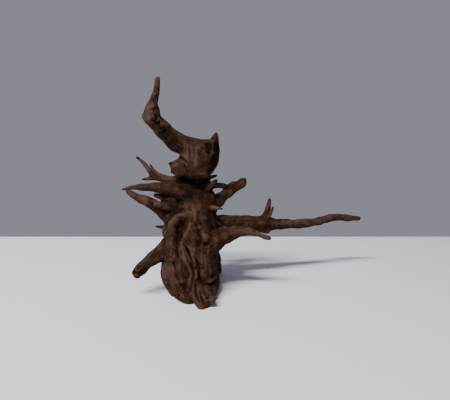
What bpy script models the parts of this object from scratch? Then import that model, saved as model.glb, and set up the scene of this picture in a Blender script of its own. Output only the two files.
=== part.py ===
"""Dry root: one piece of driftwood root that stands on four flat-cut places.

Metres, +Z up. Every branch is a tapered tube along a short hand-set route. The tubes are fused into
one skin, smoothed, thinned, hollowed in three places and cut flat where it meets the ground.
The origin is the middle of the bounding box's underside.
"""
import bpy
import bmesh
from mathutils import Vector

MM = 0.001

NODE = "dry_root"
COLLECTION = "Dry root"
CUTTERS = "Dry root cutters"

SKIN_VOXEL = 1.7 * MM        # cell of the fused skin
SMOOTH_PASSES = 6            # softens the crotches between branches
SKIN_TRIANGLES = 7400        # target after thinning
SIDE_SEGMENTS = 5            # bevel steps of a tube, four sides per step
ROUTE_STEPS = 6              # steps between two route points
GROUND_BLOCK = 0.6           # edge of the block that cuts the feet flat
WELD = 0.01 * MM             # points closer than this are one

WOOD_COLOUR = (0.050, 0.025, 0.016, 1.0)
WOOD_ROUGHNESS = 0.78

# Each route is (x, y, z, radius) in millimetres, from the trunk outwards. z = 0 is the ground.
TRUNK = {
    "core": [(7, 12, 151, 23), (5, 12, 140, 28), (1, 9, 115, 33), (-1, 6, 86, 35), (-2, 3, 58, 37),
             (-3, 1, 36, 35), (-3, 2, 27, 27)],
    "left_flank": [(-12, 8, 150, 19), (-22, 4, 124, 19), (-25, 0, 94, 19), (-24, -4, 64, 20),
                   (-26, -6, 38, 20), (-25, -4, 24, 16)],
    "right_flank": [(20, 8, 150, 15), (21, 4, 118, 15.5), (18, 0, 88, 14), (17, -4, 60, 15),
                    (22, -6, 30, 16.5), (24, -6, 17, 12.5)],
    "left_lobe": [(-26, 0, 60, 12), (-31, 2, 50, 12), (-37, 2, 38, 13.5), (-35, 0, 23, 13.5),
                  (-30, -6, 13, 12.5), (-20, -18, 12, 12), (-8, -27, 11, 12.5), (5, -30, 13, 12)],
    "right_lobe": [(20, 2, 54, 12), (25, 0, 41, 11.5), (28, -2, 27, 12), (28, -12, 13, 12.5),
                   (26, -24, 12, 11.5)],
    "back_ridge": [(2, 24, 158, 14), (-6, 30, 128, 15), (-10, 30, 98, 17), (-10, 26, 70, 19)],
    "back_stub": [(12, 26, 112, 15), (17, 42, 120, 10), (20, 52, 125, 8)],
    "hook": [(0, -18, 129, 5), (-10, -21, 127.5, 6), (-20, -20, 122, 7.5), (-26, -18, 112, 8),
             (-28, -15, 98, 8.5), (-28.5, -15, 84, 8.5), (-27, -16, 68, 8.5)],
    "front_knob": [(14, -13, 118, 9), (18, -17, 105, 9), (22, -22, 95.5, 6.5)],
    "middle_rib": [(-2, -15, 108, 11.5), (2, -18, 90, 12), (4, -21, 74, 10.5), (6, -22, 60, 9.5)],
    "front_swell": [(20, -17, 74, 11), (21, -20, 52, 12), (20, -20, 34, 12)],
    "base_rim": [(-32, -14, 52, 6), (-28, -17, 36, 6.5), (-25, -20, 22, 7), (-16, -28, 10, 7),
                 (-4, -35, 7, 6.5)],
}
FEET = {
    "back_buttress": [(2, 20, 60, 24), (2, 30, 34, 18), (-4, 38, 22, 12)],
    "back_left_foot": [(-10, 14, 88, 24), (-15, 34, 64, 21), (-21, 50, 42, 17), (-33, 63, 24, 14.5),
                       (-41, 77, 8, 12.5), (-44, 86, -5, 12)],
    "back_right_foot": [(12, 14, 80, 22), (17, 36, 62, 18), (26, 54, 44, 14.5), (29, 70, 24, 13),
                        (31, 82, 8, 11), (33, 88, -5, 10.5)],
    "front_foot": [(2, -28, 48, 6), (3.5, -33, 36, 6.5), (5, -37, 24, 6.4), (8, -42, 14, 6),
                   (13, -47, 6, 5.4), (18, -52, -2, 4.6)],
    "toe_web": [(10, -32, 26, 8), (17, -40, 16, 7), (23, -47, 6, 6.5)],
    "foot_knot": [(22, -34, 21, 7.5), (27, -43, 15.5, 7), (31, -50, 12, 5.2)],
    "low_thorn": [(-26, -8, 14, 5), (-29, -12, 6, 3.4), (-32, -14, 1.5, 1.5)],
}
HEAD = {
    "neck": [(6, 14, 190, 18), (5, 17, 176, 20), (5, 14, 160, 22)],
    "neck_web": [(-4, 8, 187, 8), (-16, 6, 184.5, 5), (-27, 5, 180, 4)],
    "head_top": [(-6, -2, 231, 10), (8, -4, 229, 9.5), (20, -6, 226.5, 9.5), (30, -5, 226, 11)],
    "head_left": [(-1, -5, 222, 13), (-2, -8, 210, 13.5), (-3, -9, 199, 12)],
    "head_middle": [(12, -9, 220, 14), (12, -12, 207, 14), (11, -13, 196, 12)],
    "head_right": [(29, -6, 224, 13), (26.5, -9, 208, 13.5), (22, -9, 198, 12)],
    "head_back": [(6, 12, 224, 14), (10, 13, 206, 18), (9, 13, 192, 16)],
    "jaw": [(-4, -10, 202, 12), (-14, -12, 200.5, 10), (-19, -13, 198, 8.8), (-17, -12, 192, 8)],
    "lower_lip_edge": [(-15, -12, 193, 8), (-6, -15, 191, 8.5), (8, -18, 189, 8), (20, -16, 190, 8),
                       (26, -10, 194, 7)],
    "upper_tooth": [(-22, -13, 201.5, 4.5), (-28.5, -14, 203, 2.8)],
    "lower_tooth": [(-20, -13, 191, 3.4), (-27, -14, 190, 1.5)],
    "spur": [(33, -4, 229, 8.6), (35.3, -4, 236, 6), (36.5, -4, 241.5, 4.3), (37, -4, 245.5, 2.4)],
    "horn": [(-2, 0, 225, 14), (-18, 0, 232, 14), (-32, -4, 243, 12.5), (-44, -8, 256, 11.3),
             (-54, -11, 267, 9.5)],
    "horn_elbow": [(-50, -11, 262, 9), (-57, -12, 266.5, 8), (-63, -13, 269, 4.6),
                   (-57.5, -13, 277, 5)],
    "horn_tip": [(-54, -12, 268, 10), (-53, -12, 276, 9.2), (-52, -12, 284, 7), (-50, -11, 291, 5.5),
                 (-47.5, -11, 299, 4.9), (-46, -10, 307, 4.6), (-44, -10, 320, 4.5)],
}
LEFT_BRANCHES = {
    "fork": [(-8, 0, 168, 10), (-28, 4, 177, 7), (-48, 8, 180.5, 5), (-62, 10, 182, 4.5)],
    "fork_upper": [(-46, 8, 181, 5), (-61, 10, 187, 4), (-70, 14, 196, 3.6), (-79, 18, 205, 2.8),
                   (-86, 20, 211, 2.2)],
    "fork_middle": [(-42, 6, 181, 4), (-52, 6, 187, 3), (-60, 8, 194, 2.2), (-63, 8, 200, 1.5)],
    "fork_lower": [(-33, 4, 178, 4.5), (-52, 8, 179.5, 3.7), (-67, 8, 179.5, 2.8), (-76, 8, 179, 1.5)],
    "spike": [(-8, -4, 156, 12), (-28, -15, 166, 10), (-46, -22, 168.5, 7.6), (-64, -26, 169, 5.6),
              (-80, -31, 169, 3.9), (-93, -35, 167.5, 1.7)],
    "low_root": [(-19, 0, 110, 14), (-34, 2, 122, 12.5), (-50, 4, 133, 9.5), (-68, 6, 143.5, 7.5),
                 (-84, 8, 150, 6.4), (-98, 8, 159.5, 4)],
    "upper_lip": [(-28, -8, 152, 11), (-41, -14, 154, 5), (-51, -18, 157, 3)],
    "lower_lip": [(-28, -8, 142, 11), (-40, -14, 143, 6), (-50, -18, 144, 3.5)],
    "left_thorn": [(-36, 6, 103, 5), (-49, 5, 105, 2.8), (-57, 4, 106, 1.4)],
    "cut_root": [(-21, 8, 80, 18), (-36, 2, 74, 15), (-49, -8, 66.5, 12), (-64, -17, 57, 10),
                 (-75, -23, 47, 8.2), (-79.5, -26.5, 41.5, 7.8)],
}
RIGHT_BRANCHES = {
    "right_upper_root": [(19, 10, 128, 13), (34, 13, 140.5, 10), (51, 19, 153.5, 8.2),
                         (65, 25, 163.5, 7.8), (76, 29, 170.5, 6.8)],
    "broken_end": [(73, 28, 169, 5), (79, 30, 174.5, 3.6), (81.5, 31, 177, 2.4)],
    "broken_bump": [(60, 24, 168, 5), (63, 22, 172.5, 3)],
    "arch": [(12, 8, 163, 9), (26, 14, 167.5, 5.6), (42, 20, 168, 4.4), (55, 24, 165, 3.6),
             (64, 27, 159, 3)],
    "neck_stub": [(22, -2, 166, 7), (30, -7, 172, 4.6), (36.5, -10, 178, 2.8)],
    "neck_thorn": [(20, 8, 180, 5), (29, 10, 182.5, 2.8), (36.5, 12, 184, 1.6)],
    "right_thorn": [(22, -2, 135, 7), (34, -12, 137.5, 3.6), (41, -17, 137.5, 2.4),
                    (46.5, -18, 137, 1.2)],
    "long_root": [(17, 8, 100, 21), (38, 17, 105.5, 14.5), (65, 27, 107, 12), (94, 37, 104.5, 11.5),
                  (124, 47, 100.5, 11.3), (154, 56, 98, 8.8), (190, 65, 98, 7.5), (224, 73, 102, 7),
                  (250, 79, 105.5, 6), (276, 85, 103, 5), (294, 89, 101.5, 4.2)],
    "long_twig": [(114, 45, 106.5, 9), (120.5, 45, 121.5, 5.5), (123.5, 45, 133, 4),
                  (124, 45, 141.5, 2.5)],
    "long_twiglet": [(122.5, 40, 113, 3.8), (127, 38, 125, 2.3), (129, 37, 130, 1.6)],
    "long_knob": [(107.5, 42, 98, 8.4), (115, 40, 90.5, 5.2), (121, 40, 89.5, 4.7)],
    "flare": [(16, 2, 50, 14), (25, 4, 68, 11.5), (43, 8, 84, 9.5), (66, 14, 95, 8.5)],
    "front_branch": [(20, -6, 80, 21), (42, -8, 92, 14), (64, -12, 100.5, 9), (80, -18, 103.5, 6),
                     (94, -23, 101.5, 4.2), (104, -27, 98, 3.4), (114, -30, 96, 2.8)],
}

# Hollows cut into the front and the right of the head: centre, half sizes in millimetres.
HOLLOWS = {
    "front_hollow": ((-14, -30, 107), (7, 12, 11)),
    "knob_hole": ((23, -36, 86.5), (4, 9, 2.6)),
    "head_side": ((54, -25, 216), (20, 18, 30)),
}


def make_collection(name):
    """A new collection in the scene."""
    collection = bpy.data.collections.new(name)
    bpy.context.scene.collection.children.link(collection)
    return collection


def evaluated_mesh(obj):
    """A plain mesh of the object with its curve bevel or its modifiers built in."""
    graph = bpy.context.evaluated_depsgraph_get()
    return bpy.data.meshes.new_from_object(obj.evaluated_get(graph))


def tube(name, route, collection):
    """A closed tapered tube along a smooth curve through the route points."""
    curve = bpy.data.curves.new(name, "CURVE")
    curve.dimensions = "3D"
    curve.bevel_depth = 1.0
    curve.bevel_resolution = SIDE_SEGMENTS
    curve.resolution_u = ROUTE_STEPS
    curve.use_fill_caps = True
    spline = curve.splines.new("BEZIER")
    spline.bezier_points.add(len(route) - 1)
    for point, (x, y, z, radius) in zip(spline.bezier_points, route):
        point.co = Vector((x, y, z)) * MM
        point.radius = radius * MM
        point.handle_left_type = point.handle_right_type = "AUTO"
    holder = bpy.data.objects.new(name, curve)
    collection.objects.link(holder)
    bpy.context.view_layer.update()
    mesh = evaluated_mesh(holder)
    bpy.data.objects.remove(holder)
    bpy.data.curves.remove(curve)
    return mesh


def ball(centre, radius):
    """A ball that rounds the end of a tube."""
    work = bmesh.new()
    bmesh.ops.create_icosphere(work, subdivisions=2, radius=radius * MM)
    bmesh.ops.translate(work, vec=Vector(centre) * MM, verts=work.verts)
    mesh = bpy.data.meshes.new("ball")
    work.to_mesh(mesh)
    work.free()
    return mesh


def join_meshes(name, meshes):
    """One mesh holding every closed tube, with the tube caps welded."""
    work = bmesh.new()
    for mesh in meshes:
        work.from_mesh(mesh)
        bpy.data.meshes.remove(mesh)
    bmesh.ops.remove_doubles(work, verts=work.verts, dist=WELD)
    joined = bpy.data.meshes.new(name)
    work.to_mesh(joined)
    work.free()
    return joined


def ellipsoid(name, centre, half_sizes, collection):
    """A cutter that scoops a rounded hollow."""
    work = bmesh.new()
    bmesh.ops.create_icosphere(work, subdivisions=2, radius=1.0)
    bmesh.ops.scale(work, vec=Vector(half_sizes) * MM, verts=work.verts)
    bmesh.ops.translate(work, vec=Vector(centre) * MM, verts=work.verts)
    return cutter_object(name, work, collection)


def ground_block(collection):
    """A cutter that takes away everything under the ground."""
    work = bmesh.new()
    bmesh.ops.create_cube(work, size=GROUND_BLOCK)
    bmesh.ops.translate(work, vec=(0.0, 0.0, -GROUND_BLOCK / 2.0), verts=work.verts)
    return cutter_object("ground_cut", work, collection)


def cutter_object(name, work, collection):
    """Wrap a finished bmesh as a wire-drawn cutter."""
    mesh = bpy.data.meshes.new(name)
    work.to_mesh(mesh)
    work.free()
    cutter = bpy.data.objects.new(name, mesh)
    cutter.hide_render = True
    cutter.display_type = "WIRE"
    collection.objects.link(cutter)
    return cutter


def cut(obj, cutter):
    """Exact subtraction of the cutter from the object."""
    modifier = obj.modifiers.new(cutter.name, "BOOLEAN")
    modifier.operation = "DIFFERENCE"
    modifier.solver = "EXACT"
    modifier.object = cutter


def fuse_skin(obj):
    """Fuse the tubes into one skin, then soften and thin it."""
    remesh = obj.modifiers.new("fuse", "REMESH")
    remesh.mode = "VOXEL"
    remesh.voxel_size = SKIN_VOXEL
    remesh.adaptivity = 0.0
    smooth = obj.modifiers.new("soften", "SMOOTH")
    smooth.factor = 0.5
    smooth.iterations = SMOOTH_PASSES
    bpy.context.view_layer.update()
    faces = len(evaluated_mesh(obj).polygons)
    thin = obj.modifiers.new("thin", "DECIMATE")
    thin.decimate_type = "COLLAPSE"
    thin.ratio = SKIN_TRIANGLES / (2.0 * faces)
    thin.use_collapse_triangulate = True


def wood_material():
    """Dark red-brown dry wood."""
    material = bpy.data.materials.new("wood")
    material.use_nodes = True
    shader = material.node_tree.nodes["Principled BSDF"]
    shader.inputs["Base Color"].default_value = WOOD_COLOUR
    shader.inputs["Roughness"].default_value = WOOD_ROUGHNESS
    material.diffuse_color = WOOD_COLOUR
    return material


def finish_mesh(obj):
    """Build the modifiers in and put the origin under the middle of the bounding box."""
    built = evaluated_mesh(obj)
    obj.modifiers.clear()
    work = bmesh.new()
    work.from_mesh(built)
    bmesh.ops.remove_doubles(work, verts=work.verts, dist=WELD)
    bmesh.ops.triangulate(work, faces=work.faces)
    bmesh.ops.dissolve_degenerate(work, edges=work.edges, dist=WELD)
    bmesh.ops.triangulate(work, faces=work.faces)
    bmesh.ops.recalc_face_normals(work, faces=work.faces)
    xs = [vert.co.x for vert in work.verts]
    ys = [vert.co.y for vert in work.verts]
    zs = [vert.co.z for vert in work.verts]
    middle = Vector(((min(xs) + max(xs)) / 2.0, (min(ys) + max(ys)) / 2.0, min(zs)))
    bmesh.ops.translate(work, vec=-middle, verts=work.verts)
    work.to_mesh(obj.data)
    work.free()
    bpy.data.meshes.remove(built)
    obj.data.materials.append(wood_material())
    return middle


def main():
    for obj in list(bpy.data.objects):
        bpy.data.objects.remove(obj)
    parts = make_collection(COLLECTION)
    cutters = make_collection(CUTTERS)
    shells = []
    for group in (TRUNK, FEET, HEAD, LEFT_BRANCHES, RIGHT_BRANCHES):
        for name, route in group.items():
            shells.append(tube(name, route, parts))
            ends = (route[0], route[-1]) if group in (TRUNK, HEAD) else (route[0],)
            shells.extend(ball(end[:3], end[3]) for end in ends)
    root = bpy.data.objects.new(NODE, join_meshes(NODE, shells))
    parts.objects.link(root)
    fuse_skin(root)
    for name, (centre, half_sizes) in HOLLOWS.items():
        cut(root, ellipsoid(name, centre, half_sizes, cutters))
    cut(root, ground_block(cutters))
    bpy.context.view_layer.update()
    middle = finish_mesh(root)
    for cutter in cutters.objects:
        cutter.location = -middle


main()
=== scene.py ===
import math

import bpy
import numpy as np
from bpy.props import FloatProperty, FloatVectorProperty, PointerProperty
from bpy.types import Operator, Panel, PropertyGroup
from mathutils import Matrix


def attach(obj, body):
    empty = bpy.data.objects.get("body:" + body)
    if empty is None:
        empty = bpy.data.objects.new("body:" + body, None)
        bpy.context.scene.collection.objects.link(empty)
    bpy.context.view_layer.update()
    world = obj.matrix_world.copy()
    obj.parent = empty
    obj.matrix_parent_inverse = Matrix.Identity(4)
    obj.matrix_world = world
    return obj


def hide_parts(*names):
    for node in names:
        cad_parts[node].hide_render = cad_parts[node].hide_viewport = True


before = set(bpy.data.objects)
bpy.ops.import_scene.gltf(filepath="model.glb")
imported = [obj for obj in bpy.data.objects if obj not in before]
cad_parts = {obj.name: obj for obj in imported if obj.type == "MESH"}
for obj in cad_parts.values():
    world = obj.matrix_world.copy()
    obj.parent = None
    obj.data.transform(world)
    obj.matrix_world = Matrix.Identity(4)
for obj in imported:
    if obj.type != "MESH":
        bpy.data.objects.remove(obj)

bl_info = {
    "name": "Dry Root",
    "version": (1, 0, 0),
    "blender": (4, 5, 0),
    "location": "3D View > Sidebar > Dry Root",
    "description": "Grows one piece of dry driftwood root and sets a plain stage for it",
    "category": "Add Mesh",
}

MM = 0.001
NODE = "dry_root"

FAR = 60.0                   # distance in millimetres that stands for far away
SWELL_CELL, SWELL = 13, 0.16  # spacing in millimetres and share of the strands' uneven thickness
SHARE_FALL = 1.4             # millimetres over which one strand's grain gives way to the next one's
SMALLEST_SHARE = 0.03        # a strand with a smaller share than this leaves a point alone
GRAIN_SHIFT = (97.0, 31.0, 17.0)  # moves each strand to its own part of the noise, in millimetres
GROOVE_SEEDS = (11, 12, 13)  # flutes, creases, fibres
KNOT_SEEDS = (14, 15, 16)    # lumps, pits, patches
FULL_RADIUS = 13             # strands at least this thick, in millimetres, have grooves of full depth
FLOOR_ROUGHNESS = 0.6
WOOD_SPECULAR = 0.04
SENSOR_WIDTH = 36.0
CLIP_START = 0.01

# Noise along a strand: size of a cell along and across it, and height, all in millimetres.
FLUTES = ((75, 10, 10), 1.5)
CREASES = ((60, 4.8, 4.8), 0.6)
FIBRES = ((34, 2.3, 2.3), 0.24)

# Noise with no direction: size of a cell and height, in millimetres.
BENDS = (26, (1.4, 1.4, 1.4))
LUMPS = (11, 1.3)
PITS = ((3.6, 3.6, 4.6), 2.6)

# How the hollows are found: passes of smoothing, and how much the gap to the smoothed skin counts.
CAVITY_PASSES = ((3, 1.6), (9, 0.8), (40, 0.32))

# The trunk's axis stands here, in millimetres, when the origin is under the middle of the whole root.
TRUNK_AXIS = (-97.6, -20.9)

# Strands of wood: name, blend with what is already grown, then (x, y, z, radius) from the trunk outwards.
# All in millimetres round the trunk's axis, with z = 0 on the ground.
STRANDS = (
    ("core", 0, ((7, 12, 151, 23), (5, 12, 140, 28), (1, 9, 115, 33), (-1, 6, 86, 35), (-2, 3, 58, 37),
                 (-3, 1, 36, 35), (-3, 2, 27, 27))),
    ("left flank", 6, ((-12, 8, 150, 19), (-22, 4, 124, 19), (-25, 0, 94, 19), (-24, -4, 64, 20),
                       (-26, -6, 38, 20), (-25, -4, 24, 16))),
    ("right flank", 5, ((20, 8, 150, 15), (21, 4, 118, 15.5), (18, 0, 88, 14), (17, -4, 60, 15),
                        (22, -6, 30, 16.5), (24, -6, 17, 12.5))),
    ("left lobe", 5, ((-26, 0, 60, 12), (-31, 2, 50, 12), (-37, 2, 38, 13.5), (-35, 0, 23, 13.5),
                      (-30, -6, 13, 12.5), (-20, -18, 12, 12), (-8, -27, 11, 12.5), (5, -30, 13, 12))),
    ("right lobe", 5, ((20, 2, 54, 12), (25, 0, 41, 11.5), (28, -2, 27, 12), (28, -12, 13, 12.5),
                       (26, -24, 12, 11.5))),
    ("back ridge", 6, ((2, 24, 158, 14), (-6, 30, 128, 15), (-10, 30, 98, 17), (-10, 26, 70, 19))),
    ("back buttress", 6, ((2, 20, 60, 24), (2, 30, 34, 18), (-4, 38, 22, 12))),
    ("back left foot", 7, ((-10, 14, 88, 24), (-15, 34, 64, 21), (-21, 50, 42, 17), (-33, 63, 24, 14.5),
                           (-41, 77, 8, 12.5), (-44, 86, -5, 12))),
    ("back right foot", 7, ((12, 14, 80, 22), (17, 36, 62, 18), (26, 54, 44, 14.5), (29, 70, 24, 13),
                            (31, 82, 8, 11), (33, 88, -5, 10.5))),
    ("back stub", 3, ((12, 26, 112, 15), (17, 42, 120, 10), (20, 52, 125, 8))),
    ("neck", 5, ((6, 14, 190, 18), (5, 17, 176, 20), (5, 14, 160, 22))),
    ("neck web", 3, ((-4, 8, 187, 8), (-16, 6, 184.5, 5), (-27, 5, 180, 4))),
    ("head top", 4, ((-6, -2, 231, 10), (8, -4, 229, 9.5), (20, -6, 226.5, 9.5), (30, -5, 226, 11))),
    ("head left", 4, ((-1, -5, 222, 13), (-2, -8, 210, 13.5), (-3, -9, 199, 12))),
    ("head middle", 4, ((12, -9, 220, 14), (12, -12, 207, 14), (11, -13, 196, 12))),
    ("head right", 4, ((29, -6, 224, 13), (26.5, -9, 208, 13.5), (22, -9, 198, 12))),
    ("head back", 6, ((6, 12, 224, 14), (10, 13, 206, 18), (9, 13, 192, 16))),
    ("jaw", 4, ((-4, -10, 202, 12), (-14, -12, 200.5, 10), (-19, -13, 198, 8.8), (-17, -12, 192, 8))),
    ("lower lip edge", 5, ((-15, -12, 193, 8), (-6, -15, 191, 8.5), (8, -18, 189, 8), (20, -16, 190, 8),
                           (26, -10, 194, 7))),
    ("upper tooth", 1.5, ((-22, -13, 201.5, 4.5), (-28.5, -14, 203, 2.8))),
    ("lower tooth", 1.5, ((-20, -13, 191, 3.4), (-27, -14, 190, 1.5))),
    ("spur", 3, ((33, -4, 229, 8.6), (35.3, -4, 236, 6), (36.5, -4, 241.5, 4.3), (37, -4, 245.5, 2.4))),
    ("horn", 5, ((-2, 0, 225, 14), (-18, 0, 232, 14), (-32, -4, 243, 12.5), (-44, -8, 256, 11.3),
                 (-54, -11, 267, 9.5))),
    ("horn elbow", 4, ((-50, -11, 262, 9), (-57, -12, 266.5, 8), (-63, -13, 269, 4.6),
                       (-57.5, -13, 277, 5))),
    ("horn tip", 4, ((-54, -12, 268, 10), (-53, -12, 276, 9.2), (-52, -12, 284, 7), (-50, -11, 291, 5.5),
                     (-47.5, -11, 299, 4.9), (-46, -10, 307, 4.6), (-44, -10, 320, 4.5))),
    ("fork", 4, ((-8, 0, 168, 10), (-28, 4, 177, 7), (-48, 8, 180.5, 5), (-62, 10, 182, 4.5))),
    ("fork upper", 2, ((-46, 8, 181, 5), (-61, 10, 187, 4), (-70, 14, 196, 3.6), (-79, 18, 205, 2.8),
                       (-86, 20, 211, 2.2))),
    ("fork middle", 2, ((-42, 6, 181, 4), (-52, 6, 187, 3), (-60, 8, 194, 2.2), (-63, 8, 200, 1.5))),
    ("fork lower", 2, ((-33, 4, 178, 4.5), (-52, 8, 179.5, 3.7), (-67, 8, 179.5, 2.8),
                       (-76, 8, 179, 1.5))),
    ("spike", 4, ((-8, -4, 156, 12), (-28, -15, 166, 10), (-46, -22, 168.5, 7.6), (-64, -26, 169, 5.6),
                  (-80, -31, 169, 3.9), (-93, -35, 167.5, 1.7))),
    ("low root", 5, ((-19, 0, 110, 14), (-34, 2, 122, 12.5), (-50, 4, 133, 9.5), (-68, 6, 143.5, 7.5),
                     (-84, 8, 150, 6.4), (-98, 8, 159.5, 4))),
    ("upper lip", 2, ((-28, -8, 152, 11), (-41, -14, 154, 5), (-51, -18, 157, 3))),
    ("lower lip", 2, ((-28, -8, 142, 11), (-40, -14, 143, 6), (-50, -18, 144, 3.5))),
    ("left thorn", 2, ((-36, 6, 103, 5), (-49, 5, 105, 2.8), (-57, 4, 106, 1.4))),
    ("cut root", 6, ((-21, 8, 80, 18), (-36, 2, 74, 15), (-49, -8, 66.5, 12), (-64, -17, 57, 10),
                     (-75, -23, 47, 8.2), (-79.5, -26.5, 41.5, 7.8))),
    ("broken end", 1.5, ((73, 28, 169, 5), (79, 30, 174.5, 3.6), (81.5, 31, 177, 2.4))),
    ("broken bump", 1.5, ((60, 24, 168, 5), (63, 22, 172.5, 3))),
    ("right upper root", 5, ((19, 10, 128, 13), (34, 13, 140.5, 10), (51, 19, 153.5, 8.2),
                             (65, 25, 163.5, 7.8), (76, 29, 170.5, 6.8))),
    ("arch", 2.5, ((12, 8, 163, 9), (26, 14, 167.5, 5.6), (42, 20, 168, 4.4), (55, 24, 165, 3.6),
                   (64, 27, 159, 3))),
    ("neck stub", 2, ((22, -2, 166, 7), (30, -7, 172, 4.6), (36.5, -10, 178, 2.8))),
    ("neck thorn", 2, ((20, 8, 180, 5), (29, 10, 182.5, 2.8), (36.5, 12, 184, 1.6))),
    ("right thorn", 2, ((22, -2, 135, 7), (34, -12, 137.5, 3.6), (41, -17, 137.5, 2.4),
                        (46.5, -18, 137, 1.2))),
    ("long root", 7, ((17, 8, 100, 21), (38, 17, 105.5, 14.5), (65, 27, 107, 12), (94, 37, 104.5, 11.5),
                      (124, 47, 100.5, 11.3), (154, 56, 98, 8.8), (190, 65, 98, 7.5), (224, 73, 102, 7),
                      (250, 79, 105.5, 6), (276, 85, 103, 5), (294, 89, 101.5, 4.2))),
    ("long twig", 3, ((114, 45, 106.5, 9), (120.5, 45, 121.5, 5.5), (123.5, 45, 133, 4),
                      (124, 45, 141.5, 2.5))),
    ("long twiglet", 2, ((122.5, 40, 113, 3.8), (127, 38, 125, 2.3), (129, 37, 130, 1.6))),
    ("long knob", 3, ((107.5, 42, 98, 8.4), (115, 40, 90.5, 5.2), (121, 40, 89.5, 4.7))),
    ("flare", 7, ((16, 2, 50, 14), (25, 4, 68, 11.5), (43, 8, 84, 9.5), (66, 14, 95, 8.5))),
    ("front branch", 5, ((20, -6, 80, 21), (42, -8, 92, 14), (64, -12, 100.5, 9), (80, -18, 103.5, 6),
                         (94, -23, 101.5, 4.2), (104, -27, 98, 3.4), (114, -30, 96, 2.8))),
    ("hook", 6, ((0, -18, 129, 5), (-10, -21, 127.5, 6), (-20, -20, 122, 7.5), (-26, -18, 112, 8),
                 (-28, -15, 98, 8.5), (-28.5, -15, 84, 8.5), (-27, -16, 68, 8.5))),
    ("front knob", 7, ((14, -13, 118, 9), (18, -17, 105, 9), (22, -22, 95.5, 6.5))),
    ("middle rib", 7, ((-2, -15, 108, 11.5), (2, -18, 90, 12), (4, -21, 74, 10.5), (6, -22, 60, 9.5))),
    ("front swell", 7, ((20, -17, 74, 11), (21, -20, 52, 12), (20, -20, 34, 12))),
    ("front foot", 5, ((2, -28, 48, 6), (3.5, -33, 36, 6.5), (5, -37, 24, 6.4), (8, -42, 14, 6),
                       (13, -47, 6, 5.4), (18, -52, -2, 4.6))),
    ("toe web", 4, ((10, -32, 26, 8), (17, -40, 16, 7), (23, -47, 6, 6.5))),
    ("foot knot", 3.5, ((22, -34, 21, 7.5), (27, -43, 15.5, 7), (31, -50, 12, 5.2))),
    ("base rim", 5, ((-32, -14, 52, 6), (-28, -17, 36, 6.5), (-25, -20, 22, 7), (-16, -28, 10, 7),
                     (-4, -35, 7, 6.5))),
    ("low thorn", 2, ((-26, -8, 14, 5), (-29, -12, 6, 3.4), (-32, -14, 1.5, 1.5))),
)

# Hollows carved out of the wood: name, softness of the rim, then (x, y, z, radius).
HOLLOWS = (
    ("hook hollow", 6, ((-5, -28, 119, 3), (-11, -26, 113, 5), (-15, -24.5, 105, 6),
                        (-18, -24, 96, 4.5))),
    ("knob hole", 1.2, ((20, -27, 86.5, 1.6), (23, -27, 86, 2.2), (26, -27, 86.5, 1.6))),
    ("slit", 1.5, ((-6, -32, 84, 1.2), (-3, -31, 77, 1.7), (0, -32, 70, 1.2))),
    ("head notch", 2, ((24, -26, 243, 5), (25, -8, 241, 4.5), (26, 10, 244, 5))),
    ("head hole", 1, ((21, -20, 231, 2.2), (26, -17, 233, 4.2), (30, -15, 236.5, 3))),
    ("head hole low", 1, ((25, -19, 227, 2), (28, -16.5, 229, 3.2), (28.5, -17, 223, 2.4))),
    ("head hole side", 1, ((25, -20, 219, 1.6), (27, -18.5, 215, 2.6), (27, -19, 209, 1.6))),
    ("head pits", 0.8, ((16, -22.5, 229, 1.4), (19.5, -22.5, 226, 2), (21, -22.5, 223, 1.4))),
    ("head side", 3.5, ((52, -23, 243, 18), (52, -23, 224, 20), (48, -25, 207, 19), (41, -27, 192, 17))),
    ("jaw notch", 2, ((-28, -12, 215.5, 3.6), (-18, -17, 212.5, 2.8), (-10, -23, 210, 1.8),
                      (-4, -26, 207, 1))),
    ("jaw cut", 1.5, ((-32, -14, 197, 2.5), (-27, -20, 196.5, 1.6))),
)

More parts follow.
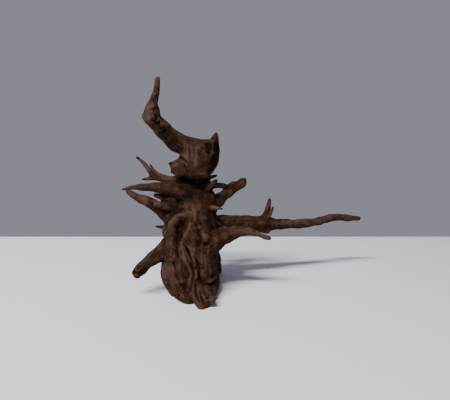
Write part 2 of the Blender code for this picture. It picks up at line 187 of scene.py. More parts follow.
# Ribs (height above 0) and grooves (below 0) on the front: name, height, then (x, z, half width).
FRONT_RIBS = (
    ("slit rib", 1.9, ((-13, 88, 2.6), (-10, 76, 3.2), (-6, 64, 3.4), (-1, 52, 3.2), (1, 42, 3.2),
                       (-3, 31, 3.6), (-7, 20, 3))),
    ("slit groove", -2.0, ((-7, 85, 1.6), (-3, 77, 2.4), (1, 69, 2.2), (5, 60, 1.6))),
    ("pit rib", 1.7, ((3, 72, 2.4), (5, 62, 2.8), (8, 52, 3), (9, 44, 2.8), (6, 34, 2.4))),
    ("between ribs", -1.7, ((2, 60, 1.6), (4.5, 48, 2.2), (3.5, 36, 2), (0, 22, 2))),
    ("pit groove", -1.8, ((9, 67, 2), (12, 59, 3), (14, 50, 2.6), (12, 42, 1.6))),
    ("left recess", -1.9, ((-13, 64, 4), (-10, 52, 6), (-11, 40, 5))),
    ("foot rib", 1.2, ((8, 46, 2.6), (10, 32, 3), (13, 18, 2.6), (16, 8, 2))),
    ("foot groove", -1.6, ((7, 38, 1.6), (8, 28, 2.2), (9, 18, 1.6), (14, 10, 1.6))),
    ("flute", -1.2, ((27, 94, 2), (30, 82, 2.8), (29, 66, 2.6), (32, 48, 2.6), (31, 36, 2))),
    ("flute rib", 1.2, ((36, 84, 3), (36.5, 62, 3.4), (37, 40, 3.4), (36, 22, 2.6))),
    ("rim groove", -1.9, ((-26, 58, 3), (-22, 44, 4), (-18, 31, 4), (-8, 20, 3))),
    ("hook rib", 1.8, ((-28, 94, 4), (-28, 82, 4.4), (-26, 70, 4))),
    ("hook groove", -1.5, ((-20, 92, 2.6), (-20, 80, 3), (-19, 69, 2.6))),
    ("knot fill", 2.2, ((17, 29, 3), (24, 30, 4), (32, 32, 3.4))),
    ("hook bank", 0.8, ((-3, 118, 5), (-5, 104, 6), (-9, 92, 5))),
    ("knob ridge", 1.1, ((6, 130, 3), (10, 118, 3.4), (15, 106, 3.4), (20, 99, 4))),
    ("hole under knob", -3.0, ((20, 87, 1.4), (23, 86.5, 2.2), (26, 87, 1.4))),
    ("collar ridge", 0.9, ((0, 150, 4), (4, 138, 4), (8, 126, 3.4))),
    ("right dip", -1.2, ((26, 132, 4), (29, 120, 5), (30, 108, 3.6))),
    ("head line one", -0.45, ((-3, 232, 1.4), (0, 218, 2), (-2, 203, 1.6))),
    ("head line two", -0.45, ((4, 235, 1.4), (6, 220, 2), (5, 198, 1.6))),
    ("head line three", -0.45, ((10, 230, 1.4), (13, 214, 2), (12, 194, 1.6))),
    ("head line four", -0.45, ((17, 226, 1.4), (20, 210, 2), (18, 192, 1.6))),
    ("notch crease", -2.6, ((-16, 213, 3), (-9, 210, 2.4), (-4, 205, 1.6))),
    ("jaw crease", -1.4, ((-8, 204, 1.8), (-6, 196, 2.2), (-2, 190, 1.6))),
)

# Where the wood is fresh and reddish, and where it is dark: (x, y, z, radius, strength) in millimetres.
FRESH_SPOTS = (
    (-39, -17, 262, 3.8, 0.9), (-35, -16, 257, 3, 0.5), (19, -53, 2, 7, 0.35), (-47, 0, 25, 7, 0.5),
    (-44, -4, 14, 6, 0.35), (-80, -28, 43, 9, 0.45), (14, -30, 116, 16, 0.12), (20, -32, 104, 10, 0.14),
    (-14, -34, 34, 14, 0.1), (-14, -16, 104, 12, 0.25), (-47, -20, 146, 10, 0.15),
    (-20, -34, 18, 14, 0.14), (20, 56, 127, 10, 0.5), (25, -18, 233, 7, 0.6), (20, -22, 237, 4, 0.6),
    (19, -24, 229, 4, 0.5),
)
# Dark spots: most are blackened tips and dark holes, but those under the head's overhang (z 162 and 176) and
# on the head's right side (x 37 to 42, z 206 to 224) are painted shade.
DARK_AND_SHADE_SPOTS = (
    (-60, -26, 172, 26, 0.4), (-34, -18, 168, 20, 0.4), (-32, -10, 148, 16, 0.35),
    (42, -14, 224, 18, 1.0), (37, -18, 206, 15, 0.9), (4, -18, 176, 22, 0.85), (-60, -16, 58, 22, 0.3),
    (6, -22, 162, 20, 0.85), (-86, 20, 211, 7, 1.0), (-63, 8, 201, 5, 0.8), (-77, 8, 179, 7, 0.8),
    (-95, -35, 167, 8, 0.6), (-56, 4, 106, 9, 1.0), (-32, -14, 2, 6, 1.0), (-30, -14, 203, 6, 1.2),
    (-28, -14, 190, 5, 0.9), (78, 30, 175, 7, 0.9), (37, -10, 178, 6, 1.0), (37, 12, 184, 6, 1.0),
    (47, -18, 137, 4, 0.9), (42, -2, 240, 8, 0.7), (298, 90, 101, 7, 0.8), (115, -30, 96, 5, 0.8),
    (124, 45, 144, 6, 0.8), (129, 37, 131, 4, 0.8), (-38, -16, 249, 9, 1.0), (-32, -14, 243, 12, 1.05),
    (-24, -12, 235, 10, 0.95), (40, -4, 214, 12, 0.6), (27, -17, 229, 8, 0.9), (29, -18, 214, 8, 0.7),
    (32, -9, 240, 5, 0.8), (37, -8, 243, 7, 0.5), (64, 25, 170, 5, 0.6), (122, 41, 88, 6, 0.6),
    (-34, -12, 134, 7, 0.5), (60, -18, 98, 24, 0.2), (4, -42, 20, 12, 0.3), (-16, -16, 218, 10, 0.4),
    (-40, -2, 12, 8, 0.6), (-72, -24, 50, 9, 0.4),
)

# Where the wood is eaten into small holes: (x, y, z, radius, strength) in millimetres.
ROTTEN_SPOTS = (
    (-46, -20, 266, 8, 0.9), (-43, -18, 258, 9, 1.0), (-48, -18, 278, 7, 1.0), (-47, -16, 291, 8, 0.9),
    (-45, -14, 304, 6, 0.5), (-36, -16, 252, 8, 0.8), (12, -34, 56, 9, 0.8), (9, -38, 34, 8, 0.5),
    (22, -32, 80, 9, 0.7), (26, -44, 14, 12, 1.0), (-14, -36, 18, 13, 0.6), (22, -24, 232, 9, 0.9),
    (-30, -24, 70, 9, 0.5), (-28, -28, 96, 9, 0.5), (12, -28, 112, 12, 0.4), (-41, -4, 30, 12, 0.5),
    (70, 20, 106, 9, 0.35), (124, 37, 95, 12, 0.4), (76, 26, 172, 8, 0.5), (-77, -28, 46, 13, 1.0),
    (18, 50, 122, 12, 0.6), (-20, 30, 90, 14, 0.4), (10, 24, 222, 14, 0.6), (-34, 60, 26, 14, 0.4),
    (30, 62, 30, 14, 0.4),
)

# Where the wood is pale and dry: (x, y, z, radius, strength) in millimetres.
PALE_SPOTS = (
    (23, -34, 82, 8, 0.7), (23, -34, 74, 6, 0.5), (27, -46, 14, 10, 0.8), (23, -30, 99, 6, 0.9),
    (-32, -24, 88, 8, 0.3), (-22, -34, 92, 6, 0.2), (-50, -20, 158, 7, 0.4), (-48, -20, 146, 7, 0.4),
    (0, -26, 232, 12, 0.35), (-2, -24, 212, 12, 0.25), (3, -42, 60, 6, 0.3), (-28, -26, 66, 8, 0.5),
    (-20, -12, 246, 8, 0.5), (-58, -18, 268, 9, 0.75), (6, -24, 138, 18, 0.55), (-42, -14, 36, 15, 0.8),
    (-12, -32, 80, 10, 0.2), (-34, -20, 50, 16, 0.7), (-26, -28, 32, 12, 0.5), (8, -28, 204, 12, 0.3),
    (-56, -18, 276, 9, 0.6), (-22, -16, 250, 7, 0.5), (10, -34, 100, 16, 0.3), (-6, -34, 72, 12, 0.3),
    (14, -34, 66, 14, 0.35), (10, -40, 46, 12, 0.3), (-54, -24, 264, 7, 0.4), (36, -16, 138, 8, 0.4),
    (-44, -12, 316, 8, 0.3),
)


def lattice(seed):
    """A periodic lattice of random unit gradients for smooth noise."""
    gradient = np.random.default_rng(seed).normal(size=(32, 32, 32, 3)).astype(np.float32)
    return gradient / np.linalg.norm(gradient, axis=-1, keepdims=True)


def noise(points, gradient):
    """Gradient noise: at each lattice corner, the dot product of its gradient with the offset from it,
    blended over the eight corners with the fade 6t^5 - 15t^4 + 10t^3. The result lies within about 1."""
    base = np.floor(points).astype(np.int64)
    offset = (points - base).astype(np.float32)
    fade = offset * offset * offset * (offset * (offset * 6 - 15) + 10)
    total = np.zeros(len(points), np.float32)
    for corner in np.ndindex(2, 2, 2):
        at = (base + corner) % 32
        dot = np.einsum("ij,ij->i", gradient[at[:, 0], at[:, 1], at[:, 2]], offset - corner)
        share = np.where(np.array(corner), fade, 1 - fade).prod(axis=1)
        total += dot * share
    return total * 1.6


def ramp(value, low, high):
    """Smooth step from 0 at low to 1 at high: 3t^2 - 2t^3."""
    t = np.clip((value - low) / (high - low), 0, 1)
    return t * t * (3 - 2 * t)


def smooth_path(route, step):
    """A Catmull-Rom curve through the route's points and radii, about one sample every step millimetres."""
    nodes = np.array(route, np.float32)
    nodes = np.vstack([2 * nodes[0] - nodes[1], nodes, 2 * nodes[-1] - nodes[-2]])
    spans = []
    for a, b, c, d in zip(nodes, nodes[1:], nodes[2:], nodes[3:]):
        count = max(2, int(np.ceil(np.linalg.norm(c[:3] - b[:3]) / step)))
        t = np.linspace(0, 1, count, endpoint=False, dtype=np.float32)[:, None]
        spans.append(0.5 * (2 * b + (c - a) * t + (2 * a - 5 * b + 4 * c - d) * t ** 2
                            + (3 * b - a - 3 * c + d) * t ** 3))
    path = np.vstack(spans + [nodes[-2:-1]])
    swell = noise(path[:, :3] / SWELL_CELL, lattice(5)) * SWELL
    path[:, 3] = np.maximum(path[:, 3] * (1 + swell), 1.0)
    return path


def smooth_min(a, b, blend):
    """The smaller of two distances, rounded off where they differ by less than blend:
    b + (a - b) h - blend h (1 - h), with h = 1/2 + (b - a) / 2 blend, kept between 0 and 1."""
    if blend <= 0:
        return np.minimum(a, b)
    h = np.clip(0.5 + 0.5 * (b - a) / blend, 0, 1)
    return b + (a - b) * h - blend * h * (1 - h)


def tapered_distance(grid, path, reach):
    """Distance to a chain of tapered round bars: for each bar, the distance to the nearest point of its
    centre line, less the radius there. grid holds the three axes' coordinates."""
    near = np.full([len(axis) for axis in grid], FAR, np.float32)
    for a, b in zip(path, path[1:]):
        low = np.minimum(a[:3], b[:3]) - max(a[3], b[3]) - reach
        high = np.maximum(a[:3], b[:3]) + max(a[3], b[3]) + reach
        part = tuple(slice(*np.searchsorted(axis, (lo, hi))) for axis, lo, hi in zip(grid, low, high))
        x, y, z = (axis[cut] - start for axis, cut, start in zip(grid, part, a))
        x, y, z = x[:, None, None], y[None, :, None], z[None, None, :]
        dx, dy, dz, taper = b - a
        t = np.clip((x * dx + y * dy + z * dz) / (dx * dx + dy * dy + dz * dz), 0, 1)
        away = np.sqrt((x - t * dx) ** 2 + (y - t * dy) ** 2 + (z - t * dz) ** 2) - (a[3] + t * taper)
        np.minimum(near[part], away, out=near[part])
    return near


def grow_field(strands, hollows, cell):
    """The distance field of the whole root on a grid: strands joined with smooth_min in turn, hollows
    taken away with its mirror image, and everything under the ground cut off flat."""
    paths = [smooth_path(route, 3) for _, _, route in strands]
    everything = np.vstack(paths)
    low = (everything[:, :3] - everything[:, 3:]).min(axis=0) - 6
    high = (everything[:, :3] + everything[:, 3:]).max(axis=0) + 6
    low[2] = -3 * cell - cell / 2
    axes = [np.arange(lo, hi, cell, dtype=np.float32) for lo, hi in zip(low, high)]
    field = np.full([len(axis) for axis in axes], FAR, np.float32)

    def around(path, reach):
        box_low = (path[:, :3] - path[:, 3:]).min(axis=0) - reach
        box_high = (path[:, :3] + path[:, 3:]).max(axis=0) + reach
        part = tuple(slice(*np.searchsorted(axis, (lo, hi))) for axis, lo, hi in zip(axes, box_low, box_high))
        return part, tapered_distance([axis[cut] for axis, cut in zip(axes, part)], path, reach)

    for (_, blend, _), path in zip(strands, paths):
        part, near = around(path, blend + 6)
        field[part] = smooth_min(field[part], near, blend)
    for _, soft, route in hollows:
        part, near = around(smooth_path(route, 2), soft + 6)
        field[part] = -smooth_min(-field[part], near, soft)
    np.maximum(field, -axes[2][None, None, :], out=field)
    return field, low, paths


def skin(field, low, cell):
    """Closed surface where the field is zero. Each grid edge that crosses zero gives one four-sided face
    between the four cells round it, and each cell's point is the mean of its edges' crossings."""
    rings, crossings = [], []
    for axis in range(3):
        near, far = [slice(None)] * 3, [slice(None)] * 3
        near[axis], far[axis] = slice(None, -1), slice(1, None)
        start, end = field[tuple(near)], field[tuple(far)]
        hit = np.argwhere((start < 0) != (end < 0))
        a, b = start[tuple(hit.T)], end[tuple(hit.T)]
        crossing = hit.astype(np.float64)
        crossing[:, axis] += a / (a - b)
        corner = np.zeros((4, 3), int)
        corner[[0, 3], (axis + 1) % 3] = -1
        corner[[0, 1], (axis + 2) % 3] = -1
        ring = hit[:, None, :] + corner
        ring = np.where((a > 0)[:, None, None], ring[:, ::-1], ring)
        rings.append(np.ravel_multi_index(ring.reshape(-1, 3).T, field.shape).reshape(-1, 4))
        crossings.append(crossing)
    rings, crossings = np.vstack(rings), np.vstack(crossings)
    _, faces = np.unique(rings, return_inverse=True)
    faces = faces.reshape(-1, 4)
    count = np.bincount(faces.ravel())
    points = np.stack([np.bincount(faces.ravel(), np.repeat(crossings[:, i], 4)) for i in range(3)], axis=1)
    return points / count[:, None] * cell + low, faces


def relax(values, faces, factor, passes):
    """Move each value towards the mean of its neighbours along the face edges, passes times."""
    a = faces.ravel()
    b = np.roll(faces, -1, axis=1).ravel()
    degree = np.bincount(a, minlength=len(values)) + np.bincount(b, minlength=len(values))
    values = values.copy()
    for _ in range(passes):
        for column in values.reshape(len(values), -1).T:
            around = np.bincount(a, column[b], len(column)) + np.bincount(b, column[a], len(column))
            column += factor * (around / degree - column)
    return values


def point_normals(points, faces):
    """Unit normals: the sum of the cross products of the diagonals of the faces round each point."""
    p = points[faces]
    cross = np.cross(p[:, 2] - p[:, 0], p[:, 3] - p[:, 1])
    normals = np.stack([np.bincount(faces.ravel(), np.repeat(cross[:, i], 4), len(points)) for i in range(3)],
                       axis=1)
    return normals / np.maximum(np.linalg.norm(normals, axis=1, keepdims=True), 1e-9)


def path_frames(path):
    """Tangents and two side axes that turn as little as possible along the path."""
    tangent = np.gradient(path[:, :3], axis=0)
    tangent /= np.linalg.norm(tangent, axis=1, keepdims=True)
    side = np.empty_like(tangent)
    seed = np.cross(tangent[0], (0.0, 1.0, 0.0) if abs(tangent[0, 1]) < 0.9 else (1.0, 0.0, 0.0))
    for i, direction in enumerate(tangent):
        seed = seed - direction * (seed @ direction)
        side[i] = seed = seed / np.linalg.norm(seed)
    return tangent, side, np.cross(tangent, side)


def strand_places(points, paths):
    """For each point and strand, how far the point is outside the strand and its place on the strand:
    length along it, and two offsets across it, in millimetres. Far strands get a large distance."""
    gaps = np.full((len(paths), len(points)), 50.0, np.float32)
    places = np.zeros((len(paths), len(points), 3), np.float32)
    for k, path in enumerate(paths):
        reach = path[:, 3].max() + 8
        low = path[:, :3].min(axis=0) - reach
        high = path[:, :3].max(axis=0) + reach
        which = np.flatnonzero(np.all((points > low) & (points < high), axis=1))
        if not len(which):
            continue
        local = points[which].astype(np.float32)
        square = ((local[:, None, :] - path[None, :, :3]) ** 2).sum(axis=2)
        nearest = (np.sqrt(square) - path[:, 3]).argmin(axis=1)
        tangent, side, up = path_frames(path)
        length = np.concatenate([[0], np.cumsum(np.linalg.norm(np.diff(path[:, :3], axis=0), axis=1))])
        offset = local - path[nearest, :3]
        along = np.einsum("ij,ij->i", offset, tangent[nearest])
        across = np.einsum("ij,ij->i", offset, side[nearest])
        above = np.einsum("ij,ij->i", offset, up[nearest])
        gaps[k, which] = np.sqrt(square[np.arange(len(which)), nearest]) - path[nearest, 3]
        places[k, which] = np.stack([length[nearest] + along, across, above], axis=1)
    return gaps, places


def spot_mask(points, spots, rough):
    """The strongest of soft round spots: strength times a smooth fall from the middle to the radius, with
    the distance disturbed by the rough noise so that no edge is a circle."""
    mask = np.zeros(len(points), np.float32)
    for x, y, z, radius, strength in spots:
        away = np.linalg.norm(points - (x, y, z), axis=1) / radius + 0.35 * rough
        mask = np.maximum(mask, strength * (1 - ramp(away, 0.45, 1.15)))
    return mask


def front_relief(points, normals, rough):
    """Height of the ribs and grooves on the front: each falls smoothly from its middle line to its half
    width, measured square to the front and disturbed by the rough noise, and fades on turned-away skin."""
    push = np.zeros(len(points))
    front = np.flatnonzero((normals[:, 1] < -0.05) & (np.abs(points[:, 0]) < 50))
    place = points[front]
    for _, height, route in FRONT_RIBS:
        path = smooth_path([(x, 0, z, half) for x, z, half in route], 1.5)
        square = ((place[:, None, ::2] - path[None, :, 0:3:2]) ** 2).sum(axis=2)
        away = (np.sqrt(square) * (1 + 0.3 * rough[front, None]) / path[:, 3]).min(axis=1)
        push[front] += height * (1 - ramp(away, 0.0, 1.35)) * (1 + 0.5 * rough[front])
    return push * ramp(-normals[:, 1], 0.05, 0.6)


def strand_grooves(points, paths):
    """Flutes, creases and fibres, which are noise stretched along each strand. A point between strands
    takes the weighted mean of theirs, with weights falling as exp(-distance / SHARE_FALL). Returns the
    height, each point's place in the grain, and how thick its strand is, from 0.25 to 1."""
    flute, crease, fibre = (lattice(seed) for seed in GROOVE_SEEDS)
    gaps, places = strand_places(points, paths)
    weights = np.exp(-(gaps - gaps.min(axis=0)) / SHARE_FALL)
    weights[weights < SMALLEST_SHARE] = 0
    weights /= weights.sum(axis=0)
    shift = np.array(GRAIN_SHIFT)
    push = np.zeros(len(points))
    for k, path in enumerate(paths):
        which = np.flatnonzero(weights[k])
        if not len(which):
            continue
        place = places[k, which] + k * shift
        size = np.clip(path[:, 3].mean() / FULL_RADIUS, 0.22, 1.0)
        deep = noise(place / FLUTES[0], flute) * FLUTES[1] * size
        line = noise(place / CREASES[0], crease)
        deep += (np.abs(line) - 0.25) * CREASES[1] * size
        deep += noise(place / FIBRES[0], fibre) * FIBRES[1] * (0.4 + 0.6 * size)
        push[which] += weights[k, which] * deep
    best = weights.argmax(axis=0)
    grain = places[best, np.arange(len(points))] + best[:, None] * shift
    thick = np.array([np.clip(path[:, 3].mean() / FULL_RADIUS, 0.25, 1.0) for path in paths])[best]
    return push, grain, thick


def cavity_mask(points, faces):
    """From 0 on ridges to 1 in hollows: half, plus half of how far smoothing lifts or lowers the skin."""
    normals = point_normals(points, faces)
    lift = np.zeros(len(points))
    smooth = points
    for passes, gain in CAVITY_PASSES:
        smooth = relax(smooth, faces, 0.6, passes)
        lift += np.einsum("ij,ij->i", smooth - points, normals) * gain
    return np.clip(0.5 + 0.5 * lift, 0, 1)


def weather(points, faces, paths, depth):
    """Wood surface on the bare skin: the strands are bent a little, then carved with the strands' grooves,
    the ribs and grooves on the front, lumps, and small pits where the wood is rotten. The underside
    stays flat. Returns the new points and the attributes that the material reads."""
    lump, pit, patch = (lattice(seed) for seed in KNOT_SEEDS)
    bend = np.stack([noise(points / BENDS[0] + shift, lump) for shift in (0.0, 9.3, 18.7)], axis=1)
    points = points + bend * BENDS[1] * ramp(points[:, 2:], 0.3, 12.0)
    normals = point_normals(points, faces)
    push, grain, thick = strand_grooves(points, paths)
    rotten = spot_mask(points, ROTTEN_SPOTS, noise(points / 5, patch))
    push += front_relief(points, normals, noise(points / 6, patch))
    push += noise(points / LUMPS[0], lump) * LUMPS[1] * thick
    push += noise(points / 5, lump) * (0.3 + 0.6 * rotten) * thick
    hole = noise(points / PITS[0], pit)
    push -= ramp(hole, 0.05, 0.4) * rotten * PITS[1] * np.sqrt(thick)
    push *= depth * ramp(points[:, 2], 0.3, 4.0)
    moved = points + normals * push[:, None]
    moved[:, 2] = np.maximum(moved[:, 2], 0.0)
    moved = relax(moved, faces, 0.25, 1)
    moved[points[:, 2] < 0.05, 2] = 0.0
    rough = noise(points / 3.1, patch) + 0.6 * noise(points / 9, lump)
    return moved, {
        "grain": grain,
        "cavity": cavity_mask(moved, faces),
        "fresh": spot_mask(moved, FRESH_SPOTS, rough),
        "dark": spot_mask(moved, DARK_AND_SHADE_SPOTS, rough),
        "pale": spot_mask(moved, PALE_SPOTS, rough),
        "rotten": rotten,
    }


def mesh_from_arrays(name, points, faces, attributes):
    """A mesh of four-sided faces with smooth shading and one float or vector attribute per name."""
    mesh = bpy.data.meshes.new(name)
    mesh.vertices.add(len(points))
    mesh.vertices.foreach_set("co", np.ascontiguousarray(points, np.float32).ravel())
    mesh.loops.add(faces.size)
    mesh.loops.foreach_set("vertex_index", np.ascontiguousarray(faces, np.int32).ravel())
    mesh.polygons.add(len(faces))
    mesh.polygons.foreach_set("loop_start", np.arange(0, faces.size, 4, dtype=np.int32))
    mesh.polygons.foreach_set("use_smooth", np.ones(len(faces), bool))
    for label, values in attributes.items():
        kind, key = ("FLOAT_VECTOR", "vector") if values.ndim == 2 else ("FLOAT", "value")
        layer = mesh.attributes.new(label, kind, "POINT")
        layer.data.foreach_set(key, np.ascontiguousarray(values, np.float32).ravel())
    mesh.update(calc_edges=True)
    mesh.validate()
    return mesh


class NodeSheet:
    """Small helper that adds and links shader nodes."""

    def __init__(self, material):
        material.use_nodes = True
        self.nodes = material.node_tree.nodes
        self.links = material.node_tree.links
        self.shader = self.nodes["Principled BSDF"]

    def add(self, kind, inputs=None, **settings):
        node = self.nodes.new(kind)
        for key, value in settings.items():
            setattr(node, key, value)
        for key, value in (inputs or {}).items():
            if isinstance(value, bpy.types.NodeSocket):
                self.links.new(value, node.inputs[key])
            else:
                node.inputs[key].default_value = value
        return node

    def attribute(self, name, output="Fac"):
        return self.add("ShaderNodeAttribute", attribute_name=name).outputs[output]

    def stretched_noise(self, vector, scale, detail, seed):
        mapping = self.add("ShaderNodeMapping", {"Vector": vector, "Location": (seed, seed, seed),
                                                 "Scale": scale})
        return self.add("ShaderNodeTexNoise", {"Vector": mapping.outputs[0], "Scale": 1.0, "Detail": detail,
                                               "Roughness": 0.6}).outputs["Fac"]

    def span(self, value, low, high, bottom=0.0, top=1.0):
        return self.add("ShaderNodeMapRange", {"Value": value, "From Min": low, "From Max": high,
                                               "To Min": bottom, "To Max": top}).outputs["Result"]

    def times(self, a, b):
        return self.add("ShaderNodeMath", {0: a, 1: b}, operation="MULTIPLY").outputs[0]

    def plus(self, a, b):
        return self.add("ShaderNodeMath", {0: a, 1: b}, operation="ADD").outputs[0]

    def blend(self, factor, first, second):
        node = self.add("ShaderNodeMix", data_type="RGBA")
        for socket, value in zip((node.inputs[0], node.inputs[6], node.inputs[7]), (factor, first, second)):
            if isinstance(value, bpy.types.NodeSocket):
                self.links.new(value, socket)
            else:
                socket.default_value = value
        return node.outputs[2]


def wood_material(settings):
    """Dry wood: fine streaks along the grain between a deep and a pale brown, with red and grey-tan patches,
    painted shade darkening the cavities, worn pale ridges, reddish fresh breaks, blackened tips, and painted
    shade under the head and on its right side."""
    material = bpy.data.materials.new("dry_wood")
    sheet = NodeSheet(material)
    place = sheet.add("ShaderNodeTexCoord").outputs["Object"]
    grain = sheet.attribute("grain", "Vector")
    cavity = sheet.attribute("cavity")
    streak = sheet.stretched_noise(grain, (0.035, 0.55, 0.55), 6.0, 3.0)
    fibre = sheet.stretched_noise(grain, (0.12, 2.2, 2.2), 4.0, 9.0)
    patch = sheet.stretched_noise(place, (34.0, 34.0, 34.0), 3.0, 5.0)
    blotch = sheet.stretched_noise(place, (95.0, 95.0, 80.0), 4.0, 7.0)
    speck = sheet.stretched_noise(place, (420.0, 420.0, 420.0), 4.0, 1.0)
    crumb = sheet.stretched_noise(place, (260.0, 260.0, 200.0), 3.0, 2.0)

    colour = sheet.blend(sheet.span(streak, 0.36, 0.64), (*settings.deep_brown, 1), (*settings.pale_brown, 1))
    colour = sheet.blend(sheet.span(patch, 0.50, 0.66, 0.0, 0.7), colour, (*settings.grey_tan, 1))
    colour = sheet.blend(sheet.span(blotch, 0.49, 0.36, 0.0, 0.75), colour, (*settings.red_brown, 1))
    shade = sheet.times(sheet.span(fibre, 0.3, 0.7, 0.55, 1.45), sheet.span(speck, 0.3, 0.7, 0.8, 1.2))
    shade = sheet.times(shade, sheet.span(blotch, 0.3, 0.7, 0.7, 1.3))
    colour = sheet.add("ShaderNodeVectorMath", {0: colour, "Scale": shade}, operation="SCALE").outputs[0]
    worn = sheet.times(sheet.span(cavity, 0.26, 0.0, 0.0, 0.7), sheet.span(fibre, 0.4, 0.6, 0.4, 1.0))
    colour = sheet.blend(worn, colour, (*settings.worn_ridge, 1))
    pale = sheet.times(sheet.attribute("pale"), sheet.span(crumb, 0.4, 0.6, 0.4, 1.0))
    colour = sheet.blend(pale, colour, (*settings.worn_ridge, 1))
    fresh = sheet.times(sheet.attribute("fresh"), sheet.span(speck, 0.35, 0.6, 0.35, 1.0))
    colour = sheet.blend(fresh, colour, (*settings.fresh_break, 1))
    # Painted shade: shallow hollows, found by the cavity mask, are darkened towards a reddish brown.
    colour = sheet.blend(sheet.span(cavity, 0.50, 0.82, 0.0, 0.6), colour, (*settings.red_hollow_shade, 1))
    rotten = sheet.attribute("rotten")
    colour = sheet.blend(sheet.times(rotten, sheet.span(crumb, 0.58, 0.46)), colour, (*settings.red_brown, 1))
    colour = sheet.blend(sheet.times(rotten, sheet.span(crumb, 0.48, 0.40)), colour, (*settings.dirt_and_shade, 1))
    # Painted shade: the deepest hollows, found by the cavity mask, are darkened almost to black.
    colour = sheet.blend(sheet.span(cavity, 0.70, 1.0, 0.0, 0.85), colour, (*settings.dirt_and_shade, 1))
    # Dark spots: blackened tips and dark holes, and painted shade under the head's overhang and on the head's
    # right side.
    colour = sheet.blend(sheet.times(sheet.attribute("dark"), 0.88), colour, (*settings.dirt_and_shade, 1))
    sheet.links.new(colour, sheet.shader.inputs["Base Color"])

    rough = sheet.span(streak, 0.3, 0.7, settings.roughness - 0.06, settings.roughness + 0.08)
    sheet.links.new(rough, sheet.shader.inputs["Roughness"])
    sheet.shader.inputs["Specular IOR Level"].default_value = WOOD_SPECULAR
    height = sheet.plus(sheet.times(streak, 0.9), sheet.times(fibre, 0.5))
    height = sheet.plus(height, sheet.times(speck, 0.35))
    bump = sheet.add("ShaderNodeBump", {"Height": height, "Strength": 0.8, "Distance": settings.bump_height})
    sheet.links.new(bump.outputs[0], sheet.shader.inputs["Normal"])
    return material


def pale_floor(settings, trunk):
    """A flat pale sheet round the foot of the trunk. It ends behind the root, where the room's colour
    takes over."""
    half, back, front = settings.floor_width / 2, settings.floor_back, -settings.floor_front
    corners = [(-half, front, 0), (half, front, 0), (half, back, 0), (-half, back, 0)]
    mesh = bpy.data.meshes.new("floor")
    mesh.from_pydata([tuple(trunk + corner) for corner in np.array(corners)], [], [(0, 1, 2, 3)])
    floor = bpy.data.objects.new("floor", mesh)
    bpy.context.scene.collection.objects.link(floor)
    material = bpy.data.materials.new("pale_floor")
    sheet = NodeSheet(material)
    sheet.shader.inputs["Base Color"].default_value = (*settings.floor_colour, 1)
    sheet.shader.inputs["Roughness"].default_value = FLOOR_ROUGHNESS
    mesh.materials.append(material)
    return floor


def camera_in_place(settings, trunk):
    """The camera in front of the trunk, looking level and then tilted down."""
    lens = bpy.data.cameras.new("camera")
    lens.lens = settings.camera_lens
    lens.sensor_width = SENSOR_WIDTH
    lens.clip_start = CLIP_START
    camera = bpy.data.objects.new("camera", lens)
    bpy.context.scene.collection.objects.link(camera)
    camera.location = trunk + (settings.camera_side, -settings.camera_distance, settings.camera_height)
    camera.rotation_euler = (math.pi / 2 - settings.camera_tilt, 0.0, 0.0)
    return camera


def area_light(name, power, size, place, turn):
    """A rectangular light at its place, turned about X from facing straight down."""
    lamp = bpy.data.lights.new(name, "AREA")
    lamp.shape = "RECTANGLE"
    lamp.energy = power
    lamp.size, lamp.size_y = size
    light = bpy.data.objects.new(name, lamp)
    bpy.context.scene.collection.objects.link(light)
    light.location = place
    light.rotation_euler = (turn, 0.0, 0.0)
    return light


class DryRootWood(PropertyGroup):
    """Sizes and colours of the root."""

    cell: FloatProperty(name="Cell", description="Edge of a grid cell, which sets how fine the skin is",
                        default=0.00138, min=0.0008, max=0.004, subtype="DISTANCE", unit="LENGTH",
                        precision=4)
    groove_depth: FloatProperty(name="Groove depth", description="Scale of flutes, creases, lumps and pits",
                                default=1.0, min=0.0, max=2.0, subtype="FACTOR")
    deep_brown: FloatVectorProperty(name="Deep brown", description="Colour of the dark streaks", size=3,
                                    default=(0.0092, 0.0040, 0.0024), min=0, max=1, subtype="COLOR")
    pale_brown: FloatVectorProperty(name="Pale brown", description="Colour of the light streaks", size=3,
                                    default=(0.0290, 0.0128, 0.0073), min=0, max=1, subtype="COLOR")
    grey_tan: FloatVectorProperty(name="Grey tan", description="Colour of the weathered patches", size=3,
                                  default=(0.0350, 0.0186, 0.0118), min=0, max=1, subtype="COLOR")
    red_brown: FloatVectorProperty(name="Red brown", description="Colour of the reddish patches", size=3,
                                   default=(0.0233, 0.0060, 0.0023), min=0, max=1, subtype="COLOR")
    worn_ridge: FloatVectorProperty(name="Worn ridge", description="Colour of the rubbed ridges", size=3,
                                    default=(0.0620, 0.0350, 0.0235), min=0, max=1, subtype="COLOR")
    fresh_break: FloatVectorProperty(name="Fresh break", description="Colour of freshly broken wood", size=3,
                                     default=(0.080, 0.0140, 0.0045), min=0, max=1, subtype="COLOR")
    # Painted shade: this colour darkens the shallow hollows.
    red_hollow_shade: FloatVectorProperty(name="Red dirt", description="Colour of the shallow hollows", size=3,
                                  default=(0.0115, 0.0040, 0.0021), min=0, max=1, subtype="COLOR")
    # Colour of blackened tips and rotten crumbs, and of the painted shade in the deepest hollows and in the
    # dark spots under the head.
    dirt_and_shade: FloatVectorProperty(name="Dirt", description="Colour of cavities and blackened tips", size=3,
                              default=(0.0032, 0.0014, 0.0008), min=0, max=1, subtype="COLOR")
    roughness: FloatProperty(name="Roughness", description="Mean roughness of the dry wood", default=0.78,
                             min=0.1, max=1.0, subtype="FACTOR")
    bump_height: FloatProperty(name="Bump height", description="Height of the finest grain", default=0.0006,
                               min=0.0, max=0.003, subtype="DISTANCE", unit="LENGTH", precision=4)


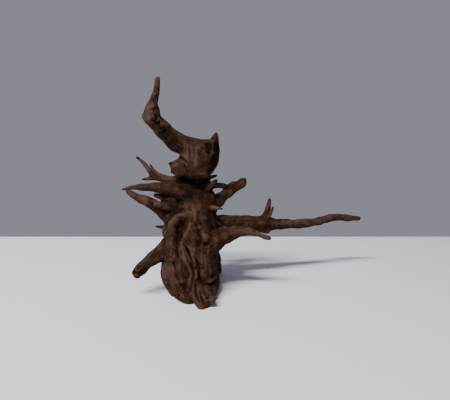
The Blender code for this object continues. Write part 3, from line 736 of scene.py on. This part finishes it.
class DryRootStage(PropertyGroup):
    """Sizes and colours of the stage."""

    floor_width: FloatProperty(name="Floor width", description="Width of the pale floor", default=6.0,
                               min=0.5, max=10.0, subtype="DISTANCE", unit="LENGTH")
    floor_back: FloatProperty(name="Floor back edge", description="How far the floor reaches behind the root",
                              default=0.338, min=0.2, max=5.0, subtype="DISTANCE", unit="LENGTH")
    floor_front: FloatProperty(name="Floor front edge", description="How far the floor reaches in front",
                               default=3.0, min=0.2, max=5.0, subtype="DISTANCE", unit="LENGTH")
    floor_colour: FloatVectorProperty(name="Floor", description="Colour of the floor", size=3,
                                      default=(0.56, 0.567, 0.615), min=0, max=1, subtype="COLOR")
    room_colour: FloatVectorProperty(name="Room", description="Colour of the plain surroundings", size=3,
                                     default=(0.255, 0.262, 0.300), min=0, max=1, subtype="COLOR")
    light_power: FloatProperty(name="Light", description="Power of the long tube light", default=192.0,
                               min=0.0, max=2000.0, unit="POWER")
    light_place: FloatVectorProperty(name="Light place", description="Place from the trunk's foot", size=3,
                                     default=(-0.95, -1.47, 2.1), subtype="XYZ", unit="LENGTH")
    light_length: FloatProperty(name="Light length", description="Length of the light, left to right",
                                default=1.7, min=0.05, max=4.0, subtype="DISTANCE", unit="LENGTH")
    light_width: FloatProperty(name="Light width", description="Width of the light", default=0.10,
                               min=0.01, max=4.0, subtype="DISTANCE", unit="LENGTH")
    back_power: FloatProperty(name="Back light", description="Power of the soft low light behind",
                              default=1.2, min=0.0, max=200.0, unit="POWER")
    back_place: FloatVectorProperty(name="Back light place", description="Place from the trunk's foot",
                                    size=3, default=(0.3, 1.25, 0.4), subtype="XYZ", unit="LENGTH")
    back_length: FloatProperty(name="Back light length", description="Length of the light behind",
                               default=1.4, min=0.05, max=4.0, subtype="DISTANCE", unit="LENGTH")
    back_width: FloatProperty(name="Back light width", description="Height of the light behind",
                              default=0.5, min=0.05, max=4.0, subtype="DISTANCE", unit="LENGTH")
    back_tilt: FloatProperty(name="Back light tilt", description="Turn from straight down to the front",
                             default=math.radians(80), min=0.0, max=math.pi, subtype="ANGLE",
                             unit="ROTATION")
    camera_height: FloatProperty(name="Camera height", description="Height of the camera over the floor",
                                 default=0.211, min=0.0, max=3.0, subtype="DISTANCE", unit="LENGTH")
    camera_distance: FloatProperty(name="Camera distance", description="From the camera to the trunk's axis",
                                   default=0.45, min=0.1, max=5.0, subtype="DISTANCE", unit="LENGTH")
    camera_side: FloatProperty(name="Camera offset", description="How far right of the trunk it stands",
                               default=0.05, min=-2.0, max=2.0, subtype="DISTANCE", unit="LENGTH")
    camera_tilt: FloatProperty(name="Camera tilt", description="How far the camera looks down",
                               default=math.radians(8), min=-1.5, max=1.5, subtype="ANGLE", unit="ROTATION")
    camera_lens: FloatProperty(name="Lens", description="Focal length in millimetres", default=24.0, min=10.0,
                               max=200.0)


class DRYROOT_OT_grow(Operator):
    """Grow the whole root as one closed piece of wood"""

    bl_idname = "dry_root.grow"
    bl_label = "Grow root"

    def execute(self, context):
        settings = context.scene.dry_root_wood
        cell = settings.cell / MM * 1.0
        field, low, paths = grow_field(STRANDS, HOLLOWS, cell)
        points, faces = skin(field, low, cell)
        points = relax(points, faces, 0.3, 1)
        points[:, 2] = np.where(points[:, 2] < 0.35 * cell, 0.0, points[:, 2])
        points, attributes = weather(points, faces, paths, settings.groove_depth)
        points[:, :2] += TRUNK_AXIS
        mesh = mesh_from_arrays("root_wood", points * MM, faces, attributes)
        root = bpy.data.objects.new("root_wood", mesh)
        context.scene.collection.objects.link(root)
        root.data.materials.append(wood_material(settings))
        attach(root, "root")
        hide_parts(NODE)
        return {"FINISHED"}


class DRYROOT_OT_stage(Operator):
    """Set a pale floor, soft lights and the camera"""

    bl_idname = "dry_root.stage"
    bl_label = "Set stage"

    def execute(self, context):
        settings = context.scene.dry_root_stage
        trunk = np.array((*TRUNK_AXIS, 0)) * MM
        floor = pale_floor(settings, trunk)

        world = bpy.data.worlds.new("plain_room")
        world.use_nodes = True
        world.node_tree.nodes["Background"].inputs["Color"].default_value = (*settings.room_colour, 1)
        context.scene.world = world

        towards_root = math.atan2(-settings.light_place[1], settings.light_place[2])
        area_light("tube_light", settings.light_power, (settings.light_length, settings.light_width),
                   trunk + settings.light_place, towards_root)
        glow = area_light("back_light", settings.back_power, (settings.back_length, settings.back_width),
                          trunk + settings.back_place, -settings.back_tilt)
        glow.visible_camera = False

        bpy.context.scene.camera = camera_in_place(settings, trunk)
        return {"FINISHED"}


class DRYROOT_PT_panel(Panel):
    """Lists the root's and the stage's settings"""

    bl_idname = "DRYROOT_PT_panel"
    bl_label = "Dry Root"
    bl_space_type = "VIEW_3D"
    bl_region_type = "UI"
    bl_category = "Dry Root"

    def draw(self, context):
        for operator, settings in ((DRYROOT_OT_grow, context.scene.dry_root_wood),
                                   (DRYROOT_OT_stage, context.scene.dry_root_stage)):
            box = self.layout.box()
            for name in settings.__annotations__:
                box.prop(settings, name)
            box.operator(operator.bl_idname)


CLASSES = (DryRootWood, DryRootStage, DRYROOT_OT_grow, DRYROOT_OT_stage, DRYROOT_PT_panel)


def register():
    for cls in CLASSES:
        bpy.utils.register_class(cls)
    bpy.types.Scene.dry_root_wood = PointerProperty(type=DryRootWood)
    bpy.types.Scene.dry_root_stage = PointerProperty(type=DryRootStage)


def unregister():
    del bpy.types.Scene.dry_root_stage
    del bpy.types.Scene.dry_root_wood
    for cls in reversed(CLASSES):
        bpy.utils.unregister_class(cls)


def main():
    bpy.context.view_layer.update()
    register()
    bpy.ops.dry_root.grow()
    bpy.ops.dry_root.stage()


if __name__ == "__main__":
    main()
